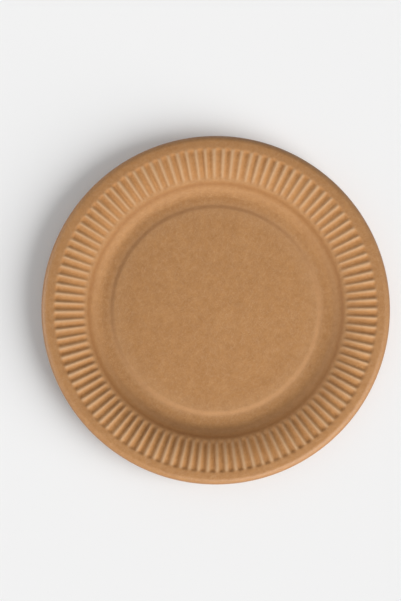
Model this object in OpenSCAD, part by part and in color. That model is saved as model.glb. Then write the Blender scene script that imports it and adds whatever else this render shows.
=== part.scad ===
// Round paper plate pressed from one sheet of brown board, with a fluted rim.
// Millimetres, +Z up. The origin is at the centre of the foot ring's underside:
// the plate stands on z = 0, Z is its axis, and the middle of one flute's crest
// lies over +X. Radii and slopes below are those of the upper face; the lower
// face follows it one board thickness below.

/* [Board] */
// Thickness of the board
board_t = 0.4; // [0.3:0.05:0.5]
// Colour of the board
board_colour = "#b5875a"; // [#b5875a:brown, #c9a77c:light brown, #f2f1ec:white]

/* [Plate] */
// Diameter over the rolled edge
plate_d = 180; // [170:1:230]
// Slope of the straight part of the wall, in degrees
wall_slope = 45; // [36:1:50]
// Width in plan of the straight part of the wall
wall_w = 5.3; // [4:0.1:8]
// Radius of the hollow between foot ring and wall
hollow_rad = 5.1; // [3:0.3:8.1]

/* [Foot and centre panel] */
// Width of the level foot ring
foot_w = 2.7; // [2:0.1:5]
// Width in plan of the step from the foot ring up to the centre panel
step_w = 3.8; // [3:0.2:6]
// Height of the centre panel over the foot ring
panel_rise = 1; // [0.5:0.1:1.4]

/* [Crease] */
// Distance in plan from the wall's upper end in to the crease
crease_in = 1.8; // [1.4:0.1:2.4]
// Half the width in plan of the crease
crease_half = 0.9; // [0.5:0.1:1.1]
// Depth of the crease
crease_depth = 0.2; // [0.05:0.05:0.25]

/* [Fluted flange] */
// Radius of the flange's arc, from the wall over to the level band
flange_rad = 23.5; // [18:0.5:28]
// Number of flutes
flute_n = 108; // [84:4:120]
// Depth of the flutes at their outer ends
flute_depth = 1.2; // [0.6:0.1:1.3]
// Width in plan over which the flutes deepen at their inner ends
flute_run_in = 3; // [2:0.25:4]
// Width in plan over which the flutes end at the level band
flute_run_out = 1.7; // [1:0.1:2]

/* [Edge] */
// Width of the level band outside the flutes
band_w = 2.9; // [1.5:0.1:5]
// Radius of the rolled edge
curl_rad = 3.3; // [2:0.1:5]
// Angle through which the edge is rolled down, in degrees
curl_turn = 80; // [45:5:85]

/* [Hidden] */

// Flat cuts in each arc of the profile.
arc_steps = 8;
// Straight stretch of wall between the crease and the start of the flutes.
seam_gap = 0.4;
// The flutes' ends lie within the smooth sheet by this length and this inset.
lap = 0.3;
lap_inset = 0.06;

// Radii, from the edge in.
curl_r0 = plate_d / 2 - curl_rad * sin(curl_turn);
band_r0 = curl_r0 - band_w;
wall_r1 = band_r0 - flange_rad * sin(wall_slope);
wall_r0 = wall_r1 - wall_w;
foot_r1 = wall_r0 - hollow_rad * sin(wall_slope);
foot_r0 = foot_r1 - foot_w;
panel_r = foot_r0 - step_w;
crease_r = wall_r1 - crease_in;
seam_r0 = crease_r + crease_half + seam_gap;
seam_r1 = band_r0;

// Heights, from the foot up.
wall_z0 = board_t + hollow_rad * (1 - cos(wall_slope));
wall_z1 = wall_z0 + wall_w * tan(wall_slope);
rim_z = wall_z1 + flange_rad * (1 - cos(wall_slope));

// The step is two equal arcs, one into the other.
step_slope = 2 * atan(panel_rise / step_w);
step_rad = step_w / 2 / sin(step_slope);

// A place on the profile is [radius, height, slope].
function on_wall(r, sink = 0) =
    [r + sink * sin(wall_slope),
     wall_z0 + (r - wall_r0) * tan(wall_slope) - sink * cos(wall_slope),
     wall_slope];

function on_flange(r) =
    let (a = asin((band_r0 - r) / flange_rad))
    [r, rim_z - flange_rad * (1 - cos(a)), a];

function on_sheet(r) =
    r <= wall_r1 ? on_wall(r) : r < band_r0 ? on_flange(r) : [r, rim_z, 0];

function arc(a0, a1, side, r, z, rad) =
    [for (i = [0 : arc_steps])
        let (a = a0 + (a1 - a0) * i / arc_steps)
        [r + side * rad * sin(a), z + side * rad * (1 - cos(a)), a]];

function upper(p) = [p[0], p[1]];
function lower(p) = [p[0] + board_t * sin(p[2]), p[1] - board_t * cos(p[2])];

// Section of the sheet along a run of places.
module sheet_section(run) {
    last = len(run) - 1;
    polygon(concat([for (p = run) upper(p)],
                   [for (i = [last : -1 : 0]) lower(run[i])]));
}

// Centre panel, step, foot ring and wall up to the flutes.
module well() {
    run = concat(
        [[0, board_t + panel_rise, 0]],
        arc(0, -step_slope, -1, panel_r, board_t + panel_rise, step_rad),
        [for (i = [1 : arc_steps])
            let (a = -step_slope * (1 - i / arc_steps))
            [foot_r0 + step_rad * sin(a), board_t + step_rad * (1 - cos(a)), a]],
        arc(0, wall_slope, 1, foot_r1, board_t, hollow_rad),
        [on_wall(crease_r - crease_half),
         on_wall(crease_r, crease_depth),
         on_wall(crease_r + crease_half),
         on_wall(seam_r0)]);
    rotate_extrude($fn = 2 * flute_n)
        sheet_section(run);
}

// Level band and rolled edge outside the flutes.
module edge() {
    run = concat(
        [[seam_r1, rim_z, 0]],
        arc(0, -curl_turn, -1, curl_r0, rim_z, curl_rad));
    rotate_extrude($fn = 2 * flute_n)
        sheet_section(run);
}

// Fluted flange. Round each circle a flute has four places, two on its crest and
// two in its groove; the grooves are pressed down from the sheet's face.
module flutes() {
    full_r0 = seam_r0 + flute_run_in;
    full_r1 = seam_r1 - flute_run_out;
    // Each station is [radius, share of the full depth, inset].
    stations = [
        [seam_r0 - lap, 0, lap_inset],
        [full_r0, 1, 0],
        [full_r0 + (full_r1 - full_r0) * 0.32, 1, 0],
        [full_r0 + (full_r1 - full_r0) * 0.65, 1, 0],
        [full_r1, 1, 0],
        [seam_r1 + lap, 0, lap_inset]];
    turns = 4 * flute_n;
    pressed = [0, 1, 1, 0];
    pitch = 360 / flute_n;

    function place(s, k, below) =
        let (p = on_sheet(s[0]),
             n = below * board_t + (1 - 2 * below) * s[2],
             r = p[0] + n * sin(p[2]),
             drop = pressed[k % 4] * s[1] * flute_depth * s[0] / full_r1,
             a = pitch * (k / 4 + 1 / 8))
        [r * cos(a), r * sin(a), p[1] - n * cos(p[2]) - drop];
    function at(i, below, k) = (2 * i + below) * turns + k % turns;

    last = len(stations) - 1;
    points = [for (s = stations, below = [0, 1], k = [0 : turns - 1]) place(s, k, below)];
    faces = concat(
        [for (i = [0 : last - 1], k = [0 : turns - 1])
            [at(i, 0, k), at(i, 0, k + 1), at(i + 1, 0, k + 1), at(i + 1, 0, k)]],
        [for (i = [0 : last - 1], k = [0 : turns - 1])
            [at(i, 1, k), at(i + 1, 1, k), at(i + 1, 1, k + 1), at(i, 1, k + 1)]],
        [for (k = [0 : turns - 1])
            [at(0, 0, k + 1), at(0, 0, k), at(0, 1, k), at(0, 1, k + 1)]],
        [for (k = [0 : turns - 1])
            [at(last, 0, k), at(last, 0, k + 1), at(last, 1, k + 1), at(last, 1, k)]]);
    polyhedron(points, faces, convexity = 6);
}

module plate() {
    color(board_colour)
    union() {
        well();
        flutes();
        edge();
    }
}

plate();
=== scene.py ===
"""Paper plate pressed from one sheet of brown board, with a fluted flange, on a pale floor.

Metres, +Z up. The plate's axis is Z, its foot ring stands on z = 0, and the middle of one
flute's crest lies over +X. Radii and heights are those of the board's upper face.
"""

import math

import bmesh
import bpy
from bpy.props import FloatProperty, FloatVectorProperty, IntProperty, PointerProperty
from mathutils import Matrix, Vector, noise


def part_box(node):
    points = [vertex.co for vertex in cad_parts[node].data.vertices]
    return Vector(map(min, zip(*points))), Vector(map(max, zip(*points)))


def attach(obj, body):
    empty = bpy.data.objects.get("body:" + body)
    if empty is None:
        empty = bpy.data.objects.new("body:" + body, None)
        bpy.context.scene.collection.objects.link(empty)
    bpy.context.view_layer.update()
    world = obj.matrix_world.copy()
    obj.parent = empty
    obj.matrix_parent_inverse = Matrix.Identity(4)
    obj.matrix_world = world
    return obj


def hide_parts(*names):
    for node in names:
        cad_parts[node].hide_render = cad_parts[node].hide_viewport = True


bl_info = {
    "name": "Paper plate",
    "version": (1, 0, 0),
    "blender": (4, 5, 0),
    "location": "3D View > Sidebar > Plate",
    "description": "Makes a fluted paper plate, its board and its stage",
    "category": "Mesh",
}

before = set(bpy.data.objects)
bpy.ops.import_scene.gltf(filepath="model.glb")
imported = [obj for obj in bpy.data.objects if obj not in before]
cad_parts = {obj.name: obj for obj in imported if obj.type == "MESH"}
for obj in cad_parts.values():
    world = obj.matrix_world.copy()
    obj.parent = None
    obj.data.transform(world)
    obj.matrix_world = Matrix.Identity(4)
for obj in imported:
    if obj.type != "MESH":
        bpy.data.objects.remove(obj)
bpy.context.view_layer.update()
plate_low, plate_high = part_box("plate")

MM = 0.001
# Places nearer to each other than this are taken as one.
TINY = 0.001 * MM

# The photograph's frame, and where the plate stands in it.
FRAME_W, FRAME_H = 401, 601
PLATE_X_PX, PLATE_Y_PX = 215.68, 310.20
PLATE_RADIUS_PX = 174.33


def length(name, description, default_mm):
    """A size in metres, given in millimetres and shown to a hundredth of one."""
    return FloatProperty(name=name, description=description, default=default_mm * MM,
                         unit="LENGTH", subtype="DISTANCE", precision=5, min=0.0)


def angle(name, description, default_degrees):
    """An angle in radians, given in degrees."""
    return FloatProperty(name=name, description=description,
                         default=math.radians(default_degrees), unit="ROTATION", subtype="ANGLE")


def share(name, description, default):
    """A number from 0 to 1."""
    return FloatProperty(name=name, description=description, default=default, min=0.0, max=1.0)


def colour(name, description, default):
    """A colour as red, green and blue light."""
    return FloatVectorProperty(name=name, description=description, default=default,
                               subtype="COLOR", size=3, min=0.0, max=1.0)


class PlateSizes(bpy.types.PropertyGroup):
    """Sizes of the pressed sheet."""

    plate_d: FloatProperty(name="Diameter", description="Diameter over the rolled edge",
                           default=plate_high.x - plate_low.x, unit="LENGTH", subtype="DISTANCE")
    board_t: length("Board", "Thickness of the board", 0.4)
    edge_round: length("Edge rounding", "Rounding of the two corners of the cut edge", 0.1)
    foot_w: length("Foot ring", "Width of the level ring the plate stands on", 2.7)
    step_w: length("Step width", "Width in plan of the step up to the centre panel", 3.8)
    panel_rise: length("Panel rise", "Height of the centre panel over the foot ring", 1.0)
    hollow_rad: length("Hollow radius", "Radius between foot ring and wall", 5.1)
    wall_w: length("Wall width", "Width in plan of the wall's straight part", 5.3)
    wall_slope: angle("Wall slope", "Slope of the wall's straight part", 45)
    crease_in: length("Crease place", "Distance in plan from the wall's upper end to the crease", 1.8)
    crease_half: length("Crease half width", "Half the width in plan of the crease", 1.2)
    crease_depth: length("Crease depth", "Depth of the crease", 0.1)
    flange_rad: length("Flange radius", "Radius of the flange's arc, from the wall to the band", 23.5)
    band_w: length("Band width", "Width of the level band outside the flutes", 2.9)
    curl_rad: length("Edge radius", "Radius of the rolled edge", 3.3)
    curl_turn: angle("Edge turn", "Angle through which the edge is rolled down", 80)


class FluteSizes(bpy.types.PropertyGroup):
    """Sizes of the flutes pressed into the flange, and how uneven the pressing is."""

    count: IntProperty(name="Flutes", description="Number of flutes", default=108, min=24)
    depth: length("Depth", "Depth of the flutes at their outer ends", 1.2)
    start_out: length("Inner gap", "Distance in plan from the crease out to the flutes' start", 1.2)
    end_out: length("Outer reach", "Distance in plan by which the flutes reach into the band", 0.3)
    run_in: length("Inner run", "Width in plan over which the flutes deepen", 3.0)
    run_out: length("Outer run", "Width in plan over which the flutes end", 2.0)
    sharpness: FloatProperty(name="Crest sharpness", default=1.4, min=1.0, max=3.0,
                             description="How narrow the crests are, from 1 for plain waves")
    uneven_depth: share("Uneven depth", "Share by which the flutes differ in depth", 0.16)
    uneven_place: share("Uneven place", "Share of a flute's width by which the flutes wander", 0.07)
    waviness: length("Panel unevenness", "Height of the soft unevenness of the centre panel", 0.08)
    level_rim: length("Panel's even rim", "Width over which the panel evens out to its rim", 8.0)


class PressMarks(bpy.types.PropertyGroup):
    """Marks on the board, as shares of the strongest and as widths: painted highlights on the crests,
    painted light beside the crease and on the step, painted shade in the grooves, on the step, in the
    crease, on the rolled edge and at the rim, and the band's darker pressed tone.
    """

    # The crease's darker mark is painted shade in the fold, together with the pressed fold's darker
    # tone.
    crease_fill: share("Crease", "Width of the crease's mark, as a share of its half width", 0.9)
    band_press: share("Band", "How hard the level band is pressed, against the crease", 0.37)
    # The rolled edge's darker mark is painted shade.
    edge_shade: share("Rolled edge", "How hard the rolled edge is pressed, against the crease", 0.2)
    band_fade: length("Band fade", "Width over which the band's mark begins, inside it", 1.5)
    edge_fade: length("Edge fade", "Width over which the rolled edge's marks begin", 1.0)
    # The dark rim is painted shade on the turned-down end of the edge.
    rim_w: length("Rim width", "Width in plan of the hard pressed rim", 1.0)
    rim_fade: length("Rim fade", "Width in plan over which the rim's mark begins", 0.6)
    # The pale line on each crest is a painted highlight.
    highlight_narrow: FloatProperty(name="Rubbed crest", default=1.5, min=1.0, max=3.0,
                                description="How narrow the pale line on a crest is")
    # The pale ridges beside the crease are painted light.
    ridge_light: share("Ridges", "How pale the ridges beside the crease are, against a crest", 0.2)
    ridge_off: length("Ridge place", "Distance in plan from the crease to the ridges", 2.7)
    ridge_w: length("Ridge width", "Width over which a ridge's pale mark fades", 1.5)
    # The step's pale mark is painted light.
    step_light: share("Rubbed step", "How pale the step is rubbed, against a crest", 0.5)
    step_light_w: length("Rubbed step width", "Width over which the step's pale mark fades", 1.9)
    # The step's deep tone is painted shade.
    step_shade: share("Step's deep tone", "How deep the step's tone is, against a groove", 0.7)
    step_shade_w: length("Step's tone width", "Width over which the step's deep tone fades", 1.5)


class BoardLook(bpy.types.PropertyGroup):
    """Colours, fibres and gloss of the board."""

    brown_dark: colour("Dark brown", "Darkest colour of the cloudy grain", (0.252, 0.099, 0.019))
    brown_pale: colour("Pale brown", "Palest colour of the cloudy grain", (0.51, 0.26, 0.092))
    # The pressed colour is painted shade in the crease, on the rolled edge and at the rim, and the
    # band's darker pressed tone.
    pressed: colour("Pressed", "Colour where the board is pressed hard", (0.26, 0.10, 0.02))
    # The deep colour is painted shade in the grooves and on the step.
    deep: colour("Deep", "Colour in the grooves and on the step", (0.52, 0.195, 0.025))
    fibre_dark: colour("Dark fibres", "Colour of the darker fibres and flecks", (0.25, 0.10, 0.033))
    # The pale fibre colour also paints the highlights on the crests and the painted light beside the
    # crease and on the step.
    pale_fibre_and_highlight: colour("Pale fibres", "Colour of pale fibres and rubbed ridges", (0.66, 0.46, 0.28))
    cut_edge: colour("Cut edge", "Colour of the board's cut edge", (0.52, 0.29, 0.13))
    fibre_length: length("Fibre length", "Length of the streaks that the fibres make", 2.6)
    fibre_width: length("Fibre width", "Width of the streaks that the fibres make", 0.2)
    fibre_relief: length("Fibre relief", "Height of the fibres in the surface", 0.05)
    roughness: share("Roughness", "Mean roughness of the board", 0.78)
    press_polish: share("Press polish", "How much smoother the pressed places are", 0.08)
    edge_polish: share("Edge polish", "How much smoother the rolled edge is", 0.34)


class StageLook(bpy.types.PropertyGroup):
    """Floor, camera and lights. A light's level is how bright it alone makes a level white card."""

    floor_grey: colour("Floor", "Colour of the floor and backdrop", (0.88, 0.88, 0.88))
    floor_half: length("Floor half width", "Half the width of the floor", 6000)
    camera_height: length("Camera height", "Height of the camera over the floor", 2000)
    camera_roll: angle("Camera roll", "Turn of the plate in the picture", 0.55)
    sky: share("Sky", "Level of the light from all round", 0.24)
    key: share("Key lamp", "Level of the main lamp on the plate", 0.74)
    fill: share("Fill lamp", "Level of the low lamp on the plate", 0.12)
    shadow: share("Floor key", "Level of the light that throws the plate's shadow", 0.55)
    even: share("Floor fill", "Level of the even light on the floor from above", 0.22)


class Shade:
    """A shader socket. Numbers and other shades combine with it by +, - and *."""

    def __init__(self, nodes, socket):
        self.nodes = nodes
        self.socket = socket

    def math(self, operation, *values):
        return self.nodes.add("ShaderNodeMath", {"operation": operation}, dict(enumerate(values)))

    def __add__(self, other):
        return self.math("ADD", self, other)

    __radd__ = __add__

    def __mul__(self, other):
        return self.math("MULTIPLY", self, other)

    __rmul__ = __mul__

    def __sub__(self, other):
        return self.math("SUBTRACT", self, other)

    def __rsub__(self, other):
        return self.math("SUBTRACT", other, self)

    def larger(self, other):
        return self.math("MAXIMUM", self, other)

    def clamp(self):
        return self.nodes.add("ShaderNodeClamp", {}, {"Value": self})

    def between(self, low, high):
        """0 up to low, 1 from high on, and smooth between them."""
        return self.nodes.add("ShaderNodeMapRange", {"interpolation_type": "SMOOTHSTEP"},
                              {"Value": self, "From Min": low, "From Max": high})


class Nodes:
    """The shader nodes of a material or a world, none at first."""

    def __init__(self, owner):
        owner.use_nodes = True
        self.tree = owner.node_tree
        self.tree.nodes.clear()

    def add(self, kind, settings=None, inputs=None, output=0):
        """Adds a node, sets its settings, then its sockets, and returns one of its outputs."""
        made = self.tree.nodes.new(kind)
        for name, value in (settings or {}).items():
            setattr(made, name, value)
        for name, value in (inputs or {}).items():
            socket = made.inputs[name]
            if isinstance(value, Shade):
                self.tree.links.new(value.socket, socket)
            elif socket.type == "RGBA":
                socket.default_value = (*value, 1.0)
            else:
                socket.default_value = value
        return Shade(self, made.outputs[output]) if made.outputs else None

    def blend(self, factor, first, second):
        """Colour that is first at factor 0 and second at factor 1."""
        return self.add("ShaderNodeMix", {"data_type": "RGBA"}, {0: factor, 6: first, 7: second},
                        output=2)

    def mark(self, name):
        """One of the marks that the mesh holds for each of its places."""
        return self.add("ShaderNodeAttribute", {"attribute_name": name}, output="Fac")


def fibres(nodes, place, look, turn, seed):
    """Thin streaks that lie near one direction: 1 on a fibre, 0 beside it.

    They are noise drawn out lengthwise, and the seed says where in the noise they lie.
    """
    laid = nodes.add("ShaderNodeMapping", {"vector_type": "TEXTURE"},
                     {"Vector": place,
                      "Location": (seed, seed * 0.37, seed * 0.11),
                      "Rotation": (0, 0, turn),
                      "Scale": (look.fibre_length, look.fibre_width, look.fibre_width)})
    streak = nodes.add("ShaderNodeTexNoise", {"noise_dimensions": "3D"},
                       {"Vector": laid, "Scale": 1.0, "Detail": 1.0, "Roughness": 0.4,
                        "Distortion": 0.35})
    return streak.between(low=0.58, high=0.70)


def many_fibres(nodes, place, look, turns, seed, seed_step=0.013):
    """Fibres laid in several directions over each other."""
    laid = fibres(nodes, place, look, turns[0], seed)
    for layer, turn in enumerate(turns[1:], start=1):
        laid = laid.larger(fibres(nodes, place, look, turn, seed + seed_step * layer))
    return laid


def cloudiness(nodes, place, lumps_per_metre, detail):
    """Soft noise round 0."""
    made = nodes.add("ShaderNodeTexNoise", {},
                     {"Vector": place, "Scale": lumps_per_metre, "Detail": detail,
                      "Roughness": 0.62})
    return made - 0.5


def flecks(nodes, place, cells_per_metre, inner, outer):
    """One round fleck in each cell: 1 up to its inner radius, 0 from its outer one, in cells."""
    spots = nodes.add("ShaderNodeTexVoronoi", {"feature": "F1"},
                      {"Vector": place, "Scale": cells_per_metre})
    return 1 - spots.between(inner, outer)


def board_material(look):
    """Uncoated brown board: cloudy grain, fibres that lie all ways, flecks, a darker pressed band, and
    painted highlights and painted shade.
    """
    material = bpy.data.materials.new("kraft_board")
    nodes = Nodes(material)
    place = nodes.add("ShaderNodeTexCoord", output="Object")
    cloud = cloudiness(nodes, place, lumps_per_metre=90, detail=2)
    floc = cloudiness(nodes, place, lumps_per_metre=380, detail=4)
    grain = cloudiness(nodes, place, lumps_per_metre=2300, detail=2)
    pale = many_fibres(nodes, place, look, turns=(0.35, -0.9, 1.2), seed=0.02)
    dark = many_fibres(nodes, place, look, turns=(1.5, -0.15, 0.7), seed=0.31)
    fleck = flecks(nodes, place, cells_per_metre=210, inner=0.04, outer=0.10)
    pressed = nodes.mark("pressed")

    # How much each size of lumps shows in the tone, then how strongly each mark shows over it.
    tone = cloud * 0.22 + floc * 0.68 + grain * 0.15
    base = nodes.blend((tone + 0.5).clamp(), look.brown_dark, look.brown_pale)
    for mask, strength, tint in (
            (pale, 0.2, look.pale_fibre_and_highlight),
            (dark, 0.16, look.fibre_dark),
            (fleck, 0.3, look.fibre_dark),
            # Painted highlights on the crests, painted light beside the crease and on the step.
            (nodes.mark("painted_light"), 0.42, look.pale_fibre_and_highlight),
            # Painted shade in the grooves and on the step.
            (nodes.mark("deep"), 0.2, look.deep),
            # Painted shade in the crease, on the rolled edge and at the rim; the band's darker pressed
            # tone.
            (pressed, 0.45, look.pressed),
            (nodes.mark("cut"), 0.8, look.cut_edge)):
        base = nodes.blend(mask * strength, base, tint)

    # How much each stands out in the surface, in heights of a fibre.
    relief = pale * 0.35 + dark * 0.35 + grain * 1.2 + floc * 2.0
    bump = nodes.add("ShaderNodeBump", {},
                     {"Strength": 1.0, "Distance": look.fibre_relief, "Height": relief},
                     output="Normal")
    polish = pressed * look.press_polish + nodes.mark("rolled") * look.edge_polish
    rough = grain * 0.3 + (look.roughness - polish)
    surface = nodes.add("ShaderNodeBsdfPrincipled", {},
                        {"Base Color": base, "Roughness": rough.clamp(), "Normal": bump})
    nodes.add("ShaderNodeOutputMaterial", {}, {"Surface": surface})
    return material


def rise(at, start, width):
    """0 up to start, 1 from a width past it on, and smooth between them."""
    x = min(max((at - start) / width, 0.0), 1.0)
    return x * x * (3 - 2 * x)


def soft_line(off, width):
    """1 on a line, and fading with the distance off it."""
    return math.exp(-(off / width) ** 2)


class Section:
    """The plate's section: places along the board's upper face, from the axis to the edge."""

    def __init__(self, sizes, flutes, marks):
        self.sizes = sizes
        self.flutes = flutes
        self.marks = marks
        s, f = sizes, flutes
        slope = s.wall_slope
        self.curl_r = s.plate_d / 2 - s.curl_rad * math.sin(s.curl_turn)
        self.band_r = self.curl_r - s.band_w
        self.wall_r1 = self.band_r - s.flange_rad * math.sin(slope)
        self.wall_r0 = self.wall_r1 - s.wall_w
        self.foot_r1 = self.wall_r0 - s.hollow_rad * math.sin(slope)
        self.foot_r0 = self.foot_r1 - s.foot_w
        self.panel_r = self.foot_r0 - s.step_w
        self.mid_step_r = self.foot_r0 - s.step_w / 2
        self.crease_r = self.wall_r1 - s.crease_in
        self.flute_r0 = self.crease_r + f.start_out
        self.flute_r1 = self.band_r + f.end_out
        self.wall_z0 = s.board_t + s.hollow_rad * (1 - math.cos(slope))
        self.wall_z1 = self.wall_z0 + s.wall_w * math.tan(slope)
        self.rim_z = self.wall_z1 + s.flange_rad * (1 - math.cos(slope))
        # The step is two equal arcs, one into the other.
        step_slope = 2 * math.atan(s.panel_rise / s.step_w)
        self.step_rad = s.step_w / 2 / math.sin(step_slope)

    def height(self, r):
        """Height of the upper face at a radius, without the crease and the flutes."""
        s = self.sizes
        foot_z = s.board_t
        panel_z = foot_z + s.panel_rise
        if r <= self.panel_r:
            return panel_z
        if r < self.mid_step_r:
            return panel_z - arc_drop(self.step_rad, r - self.panel_r)
        if r < self.foot_r0:
            return foot_z + arc_drop(self.step_rad, self.foot_r0 - r)
        if r <= self.foot_r1:
            return foot_z
        if r < self.wall_r0:
            return foot_z + arc_drop(s.hollow_rad, r - self.foot_r1)
        if r <= self.wall_r1:
            return self.wall_z0 + (r - self.wall_r0) * math.tan(s.wall_slope)
        if r < self.band_r:
            return self.rim_z - arc_drop(s.flange_rad, self.band_r - r)
        if r <= self.curl_r:
            return self.rim_z
        return self.rim_z - arc_drop(s.curl_rad, r - self.curl_r)

    def radii(self):
        """The radii of all circles of places, closest where the section bends most."""
        s, f = self.sizes, self.flutes
        # Each stretch has its start and its number of places, and ends where the next one starts.
        stretches = [
            (0.0, 8),                                # centre panel
            (self.panel_r, 8),                       # step
            (self.foot_r0, 2),                       # foot ring
            (self.foot_r1, 7),                       # hollow
            (self.wall_r0, 1),                       # wall below the crease
            (self.crease_r - 2 * s.crease_half, 13),  # crease
            (self.flute_r0, 6),                      # flutes that deepen
            (self.flute_r0 + f.run_in, 10),          # full flutes
            (self.flute_r1 - f.run_out, 5),          # flutes that end
            (self.flute_r1, 2),                      # level band
        ]
        ends = [start for start, _ in stretches[1:]] + [self.curl_r]
        radii = [start + (end - start) * i / places
                 for (start, places), end in zip(stretches, ends) for i in range(places)]
        curl_steps = 9
        for i in range(curl_steps + 1):
            radii.append(self.curl_r + s.curl_rad * math.sin(s.curl_turn * i / curl_steps))
        return radii

    def crease(self, r):
        """How deep the crease is at a radius."""
        off = min(abs(r - self.crease_r) / self.sizes.crease_half, 1.0)
        return self.sizes.crease_depth * (1 + math.cos(math.pi * off)) / 2

    def flute_share(self, r):
        """Share of the flutes' full depth at a radius: 0 off them, and growing outwards along them."""
        f = self.flutes
        begun = rise(r, self.flute_r0, f.run_in)
        ended = rise(r, self.flute_r1 - f.run_out, f.run_out)
        return begun * (1 - ended) * r / self.flute_r1

    def groove(self, turn, wander):
        """0 on a crest's middle and 1 on a groove's, at an angle round the plate."""
        f = self.flutes
        phase = f.count * turn + wander * 2 * math.pi * f.uneven_place
        crest = 0.5 + 0.5 * math.cos(phase)
        return 1 - crest ** f.sharpness

    def rolled(self, r):
        """1 on the rolled edge."""
        return rise(r, self.curl_r, self.marks.edge_fade)

    def pressed(self, r):
        """How much darker the board is: painted shade in the crease, on the rolled edge and at the rim,
        and the band's darker pressed tone.
        """
        m = self.marks
        crease = soft_line(r - self.crease_r, m.crease_fill * self.sizes.crease_half)
        band = rise(r, self.flute_r1 - m.band_fade, m.band_fade) * (1 - self.rolled(r))
        rim = rise(r, self.sizes.plate_d / 2 - m.rim_w, m.rim_fade)
        return max(crease, m.band_press * band, m.edge_shade * self.rolled(r), rim)

    def painted_light(self, r, groove):
        """How much painted light the board gets: a painted highlight on the crests, less painted light
        beside the crease and on the step.
        """
        m = self.marks
        crest = self.flute_share(r) * (1 - groove) ** m.highlight_narrow
        ridge = soft_line(abs(r - self.crease_r) - m.ridge_off, m.ridge_w)
        step = soft_line(r - self.mid_step_r, m.step_light_w)
        return max(crest, m.ridge_light * ridge, m.step_light * step)

    def deep(self, r, groove):
        """Painted shade: a deeper, browner colour in the grooves and on the step."""
        m = self.marks
        step = soft_line(r - self.mid_step_r, m.step_shade_w)
        return max(self.flute_share(r) * groove, m.step_shade * step)

    def on_cut(self, place):
        """Whether a place is on the board's cut edge, which is square to the rolled edge's end."""
        s = self.sizes
        turn = s.curl_turn
        reach = 2 * s.board_t
        corner = 0.6 * s.edge_round
        end = Vector((self.curl_r + s.curl_rad * math.sin(turn),
                      self.rim_z - s.curl_rad * (1 - math.cos(turn))))
        off = Vector((place.xy.length, place.z)) - end
        past_end = off.x * math.cos(turn) - off.y * math.sin(turn)
        return off.length < reach and past_end > -corner


def arc_drop(radius, off):
    """How far an arc is from the level line that it leaves, a distance off in plan."""
    return radius - math.sqrt(max(radius ** 2 - off ** 2, 0.0))


def spun_sheet(section, steps):
    """The board's upper face: the section spun round the axis and closed at its centre."""
    bm = bmesh.new()
    chain = [bm.verts.new((r, 0.0, section.height(r))) for r in section.radii()]
    edges = [bm.edges.new(pair) for pair in zip(chain, chain[1:])]
    bmesh.ops.spin(bm, geom=chain + edges, cent=(0, 0, 0), axis=(0, 0, 1), angle=2 * math.pi,
                   steps=steps, use_merge=True, use_duplicate=False)
    bmesh.ops.remove_doubles(bm, verts=bm.verts[:], dist=TINY)
    return bm


def divide_flange(bm, section, cuts):
    """Divides the flange's faces finely round their circles, for the flutes."""
    low, high = section.flute_r0 - 10 * TINY, section.flute_r1 + 10 * TINY

    def on_circle(edge):
        a, b = (v.co.xy.length for v in edge.verts)
        return abs(a - b) < TINY and low < a < high

    bmesh.ops.subdivide_edges(bm, edges=[e for e in bm.edges if on_circle(e)], cuts=cuts,
                              use_grid_fill=True, use_single_edge=True)


def press(bm, section):
    """Presses crease, flutes and a soft unevenness into the sheet, and marks where painted highlights,
    painted shade, the darker pressed tone and the rolled edge's polish go.
    """
    f = section.flutes
    slope = section.sizes.wall_slope
    radii = section.radii()
    up = Vector((0, 0, 1))
    marks = bm.verts.layers.float
    # Painted shade in the crease, on the rolled edge and at the rim, and the band's darker pressed
    # tone.
    pressed = marks.new("pressed")
    # Painted highlights on the crests, and painted light beside the crease and on the step.
    painted_light = marks.new("painted_light")
    # Painted shade in the grooves and on the step.
    deep = marks.new("deep")
    rolled = marks.new("rolled")
    # How close the lumps of each unevenness are, round the plate and to the metre of panel.
    wander_lumps, depth_lumps, panel_lumps = 21, 34, 26
    depth_seed, panel_seed = Vector((0, 0, 5)), Vector((3, 1, 0))
    # The noise goes a half each way at most places, so that twice its value is a whole share.
    whole = 2

    for v in bm.verts:
        r = v.co.xy.length
        if r > TINY:
            # Dividing leaves places on the chords of a circle. They belong on the circle.
            circle_r = min(radii, key=lambda radius: abs(radius - r))
            v.co.xy *= circle_r / r
            r = circle_r
        turn = math.atan2(v.co.y, v.co.x)
        outwards = Vector((math.cos(turn), math.sin(turn), 0.0))
        groove = section.groove(turn, noise.noise(outwards * wander_lumps))
        uneven = 1 + f.uneven_depth * whole * noise.noise(outwards * depth_lumps + depth_seed)
        depth = section.flute_share(r) * f.depth * uneven
        wave = f.waviness * whole * noise.noise(v.co * panel_lumps + panel_seed)
        v.co.z = section.height(r) - groove * depth
        v.co.z += wave * (1 - rise(r, section.panel_r - f.level_rim, f.level_rim))
        v.co -= section.crease(r) * (math.cos(slope) * up - math.sin(slope) * outwards)
        v[pressed] = section.pressed(r)
        v[painted_light] = section.painted_light(r, groove)
        v[deep] = section.deep(r, groove)
        v[rolled] = section.rolled(r)


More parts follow.
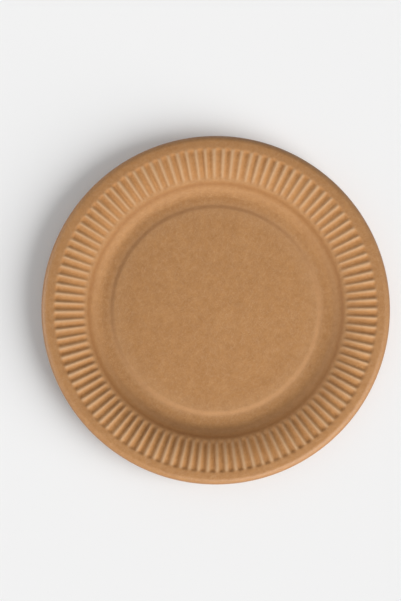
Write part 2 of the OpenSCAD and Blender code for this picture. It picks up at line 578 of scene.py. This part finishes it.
def thicken(bm, section):
    """Gives the sheet its thickness downwards, rounds the cut edge's corners and marks it."""
    s = section.sizes
    bmesh.ops.recalc_face_normals(bm, faces=bm.faces[:])
    if sum(face.normal.z for face in bm.faces) < 0:
        bmesh.ops.reverse_faces(bm, faces=bm.faces[:])
    sheet = set(bm.faces)
    outline = [edge for edge in bm.edges if edge.is_boundary]
    bmesh.ops.solidify(bm, geom=bm.faces[:], thickness=s.board_t)
    cut_faces = {face for edge in outline for face in edge.link_faces if face not in sheet}
    corners = {edge for face in cut_faces for edge in face.edges
               if any(other not in cut_faces for other in edge.link_faces)}
    bmesh.ops.bevel(bm, geom=list(corners), offset=s.edge_round, offset_type="OFFSET", segments=2,
                    profile=0.5, affect="EDGES", material=-1, clamp_overlap=True)
    cut = bm.verts.layers.float.new("cut")
    for v in bm.verts:
        v[cut] = 1.0 if section.on_cut(v.co) else 0.0


def new_piece(name, bm, material):
    """An object at the origin from a bmesh, smooth all over."""
    for face in bm.faces:
        face.smooth = True
    mesh = bpy.data.meshes.new(name)
    bm.to_mesh(mesh)
    bm.free()
    mesh.materials.append(material)
    piece = bpy.data.objects.new(name, mesh)
    bpy.context.scene.collection.objects.link(piece)
    return piece


class PLATE_OT_board(bpy.types.Operator):
    """Makes the plate: one pressed sheet of board with its finish"""

    bl_idname = "plate.board"
    bl_label = "Pressed plate"

    def execute(self, context):
        scene = context.scene
        section = Section(scene.plate_sizes, scene.flute_sizes, scene.press_marks)
        bm = spun_sheet(section, steps=2 * scene.flute_sizes.count)
        divide_flange(bm, section, cuts=5)
        press(bm, section)
        thicken(bm, section)
        piece = new_piece("plate_board", bm, board_material(scene.board_look))
        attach(piece, "root")
        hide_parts("plate")
        return {"FINISHED"}


class PLATE_OT_stage(bpy.types.Operator):
    """Makes the floor, the even light, the lamps and the camera"""

    bl_idname = "plate.stage"
    bl_label = "Stage"

    def execute(self, context):
        scene = context.scene
        look = scene.stage_look
        floor = self.floor(look)
        all_else = self.lit_group("lit_without_floor", floor, "EXCLUDE")
        floor_only = self.lit_group("lit_floor", floor, "INCLUDE")
        self.sky(scene, look)
        self.lamp("key_lamp", look.key, all_else, azimuth=304, elevation=38, distance=0.9, width=1.0)
        self.lamp("fill_lamp", look.fill, all_else, azimuth=180, elevation=15, distance=1.4, width=0.65)
        self.broad_light("floor_key", look.shadow, floor_only, azimuth=335, elevation=30, spread=54)
        self.broad_light("floor_fill", look.even, floor_only, azimuth=0, elevation=90, spread=54,
                         casts_shadow=False)
        self.camera(scene, look)
        scene.view_settings.view_transform = "Standard"
        return {"FINISHED"}

    def lit_group(self, name, floor, state):
        """A light group that holds the floor alone, or all but the floor."""
        group = bpy.data.collections.new(name)
        group.objects.link(floor)
        group.collection_objects[0].light_linking.link_state = state
        return group

    def floor(self, look):
        """A level floor, clear from below."""
        bm = bmesh.new()
        bmesh.ops.create_grid(bm, x_segments=1, y_segments=1, size=look.floor_half)
        material = bpy.data.materials.new("pale_floor")
        nodes = Nodes(material)
        face = nodes.add("ShaderNodeBsdfDiffuse", {}, {"Color": look.floor_grey})
        clear = nodes.add("ShaderNodeBsdfTransparent")
        below = nodes.add("ShaderNodeNewGeometry", output="Backfacing")
        mixed = nodes.add("ShaderNodeMixShader", {}, {0: below, 1: face, 2: clear})
        nodes.add("ShaderNodeOutputMaterial", {}, {"Surface": mixed})
        floor = new_piece("floor", bm, material)
        return floor

    def sky(self, scene, look):
        """Even light from all round. Camera, gloss and clear things see the floor's colour instead."""
        world = bpy.data.worlds.new("even_light")
        nodes = Nodes(world)
        light = nodes.add("ShaderNodeBackground", {}, {"Color": (1, 1, 1), "Strength": look.sky})
        backdrop = nodes.add("ShaderNodeBackground", {}, {"Color": look.floor_grey, "Strength": 1.0})
        seen = nodes.add("ShaderNodeLightPath", output="Is Camera Ray")
        for ray in ("Is Glossy Ray", "Is Transmission Ray"):
            seen = seen.larger(nodes.add("ShaderNodeLightPath", output=ray))
        mixed = nodes.add("ShaderNodeMixShader", {}, {0: seen, 1: light, 2: backdrop})
        nodes.add("ShaderNodeOutputWorld", {}, {"Surface": mixed})
        scene.world = world

    def lamp(self, name, level, lights, azimuth, elevation, distance, width):
        """A soft round lamp over the plate."""
        data = bpy.data.lights.new(name, "AREA")
        data.shape = "DISK"
        data.size = width
        to_lamp_edge = math.hypot(distance, width / 2)
        data.energy = level * (math.pi * to_lamp_edge) ** 2 / math.sin(math.radians(elevation))
        self.aim(data, lights, azimuth, elevation, distance)

    def broad_light(self, name, level, lights, azimuth, elevation, spread, casts_shadow=True):
        """Soft light from far away, as wide as its spread in degrees."""
        data = bpy.data.lights.new(name, "SUN")
        data.angle = math.radians(spread)
        data.energy = level * math.pi / math.sin(math.radians(elevation))
        data.use_shadow = casts_shadow
        self.aim(data, lights, azimuth, elevation, distance=1.0)

    def aim(self, data, lights, azimuth, elevation, distance):
        """Aims a light at the plate, in degrees. Azimuth 0 is over +X and 90 over +Y."""
        a, e = math.radians(azimuth), math.radians(elevation)
        towards = Vector((math.cos(a) * math.cos(e), math.sin(a) * math.cos(e), math.sin(e)))
        light = bpy.data.objects.new(data.name, data)
        light.light_linking.receiver_collection = lights
        light.location = towards * distance
        light.rotation_euler = towards.to_track_quat("Z", "Y").to_euler()
        bpy.context.scene.collection.objects.link(light)

    def camera(self, scene, look):
        """Looks straight down, a little beside the axis, so that the plate stands off centre."""
        sizes = scene.plate_sizes
        data = bpy.data.cameras.new("camera")
        camera = bpy.data.objects.new("camera", data)
        outline_height = plate_high.z - sizes.curl_rad
        metre_per_px = sizes.plate_d / 2 / PLATE_RADIUS_PX
        focal_px = (look.camera_height - outline_height) / metre_per_px
        data.lens = focal_px * data.sensor_width / max(FRAME_W, FRAME_H)
        beside = Vector(((FRAME_W / 2 - PLATE_X_PX) * metre_per_px,
                         (PLATE_Y_PX - FRAME_H / 2) * metre_per_px,
                         look.camera_height))
        roll = Matrix.Rotation(-look.camera_roll, 4, "Z")
        camera.matrix_world = Matrix.Translation(roll @ beside) @ roll
        scene.collection.objects.link(camera)
        scene.camera = camera


class PLATE_PT_panel(bpy.types.Panel):
    """Lists the plate's sizes, colours and operators"""

    bl_label = "Paper plate"
    bl_idname = "PLATE_PT_panel"
    bl_space_type = "VIEW_3D"
    bl_region_type = "UI"
    bl_category = "Plate"

    def draw(self, context):
        for group_name, group_class in GROUPS.items():
            box = self.layout.box()
            box.label(text=group_name.replace("_", " ").capitalize())
            for value_name in group_class.__annotations__:
                box.prop(getattr(context.scene, group_name), value_name)
        for operator in OPERATORS:
            self.layout.operator(operator.bl_idname)


GROUPS = {
    "plate_sizes": PlateSizes,
    "flute_sizes": FluteSizes,
    "press_marks": PressMarks,
    "board_look": BoardLook,
    "stage_look": StageLook,
}
OPERATORS = (PLATE_OT_board, PLATE_OT_stage)
CLASSES = (*GROUPS.values(), *OPERATORS, PLATE_PT_panel)


def register():
    for cls in CLASSES:
        bpy.utils.register_class(cls)
    for name, group in GROUPS.items():
        setattr(bpy.types.Scene, name, PointerProperty(type=group))


def unregister():
    for name in GROUPS:
        delattr(bpy.types.Scene, name)
    for cls in reversed(CLASSES):
        bpy.utils.unregister_class(cls)


def main():
    register()
    bpy.ops.plate.board()
    bpy.ops.plate.stage()


if __name__ == "__main__":
    main()
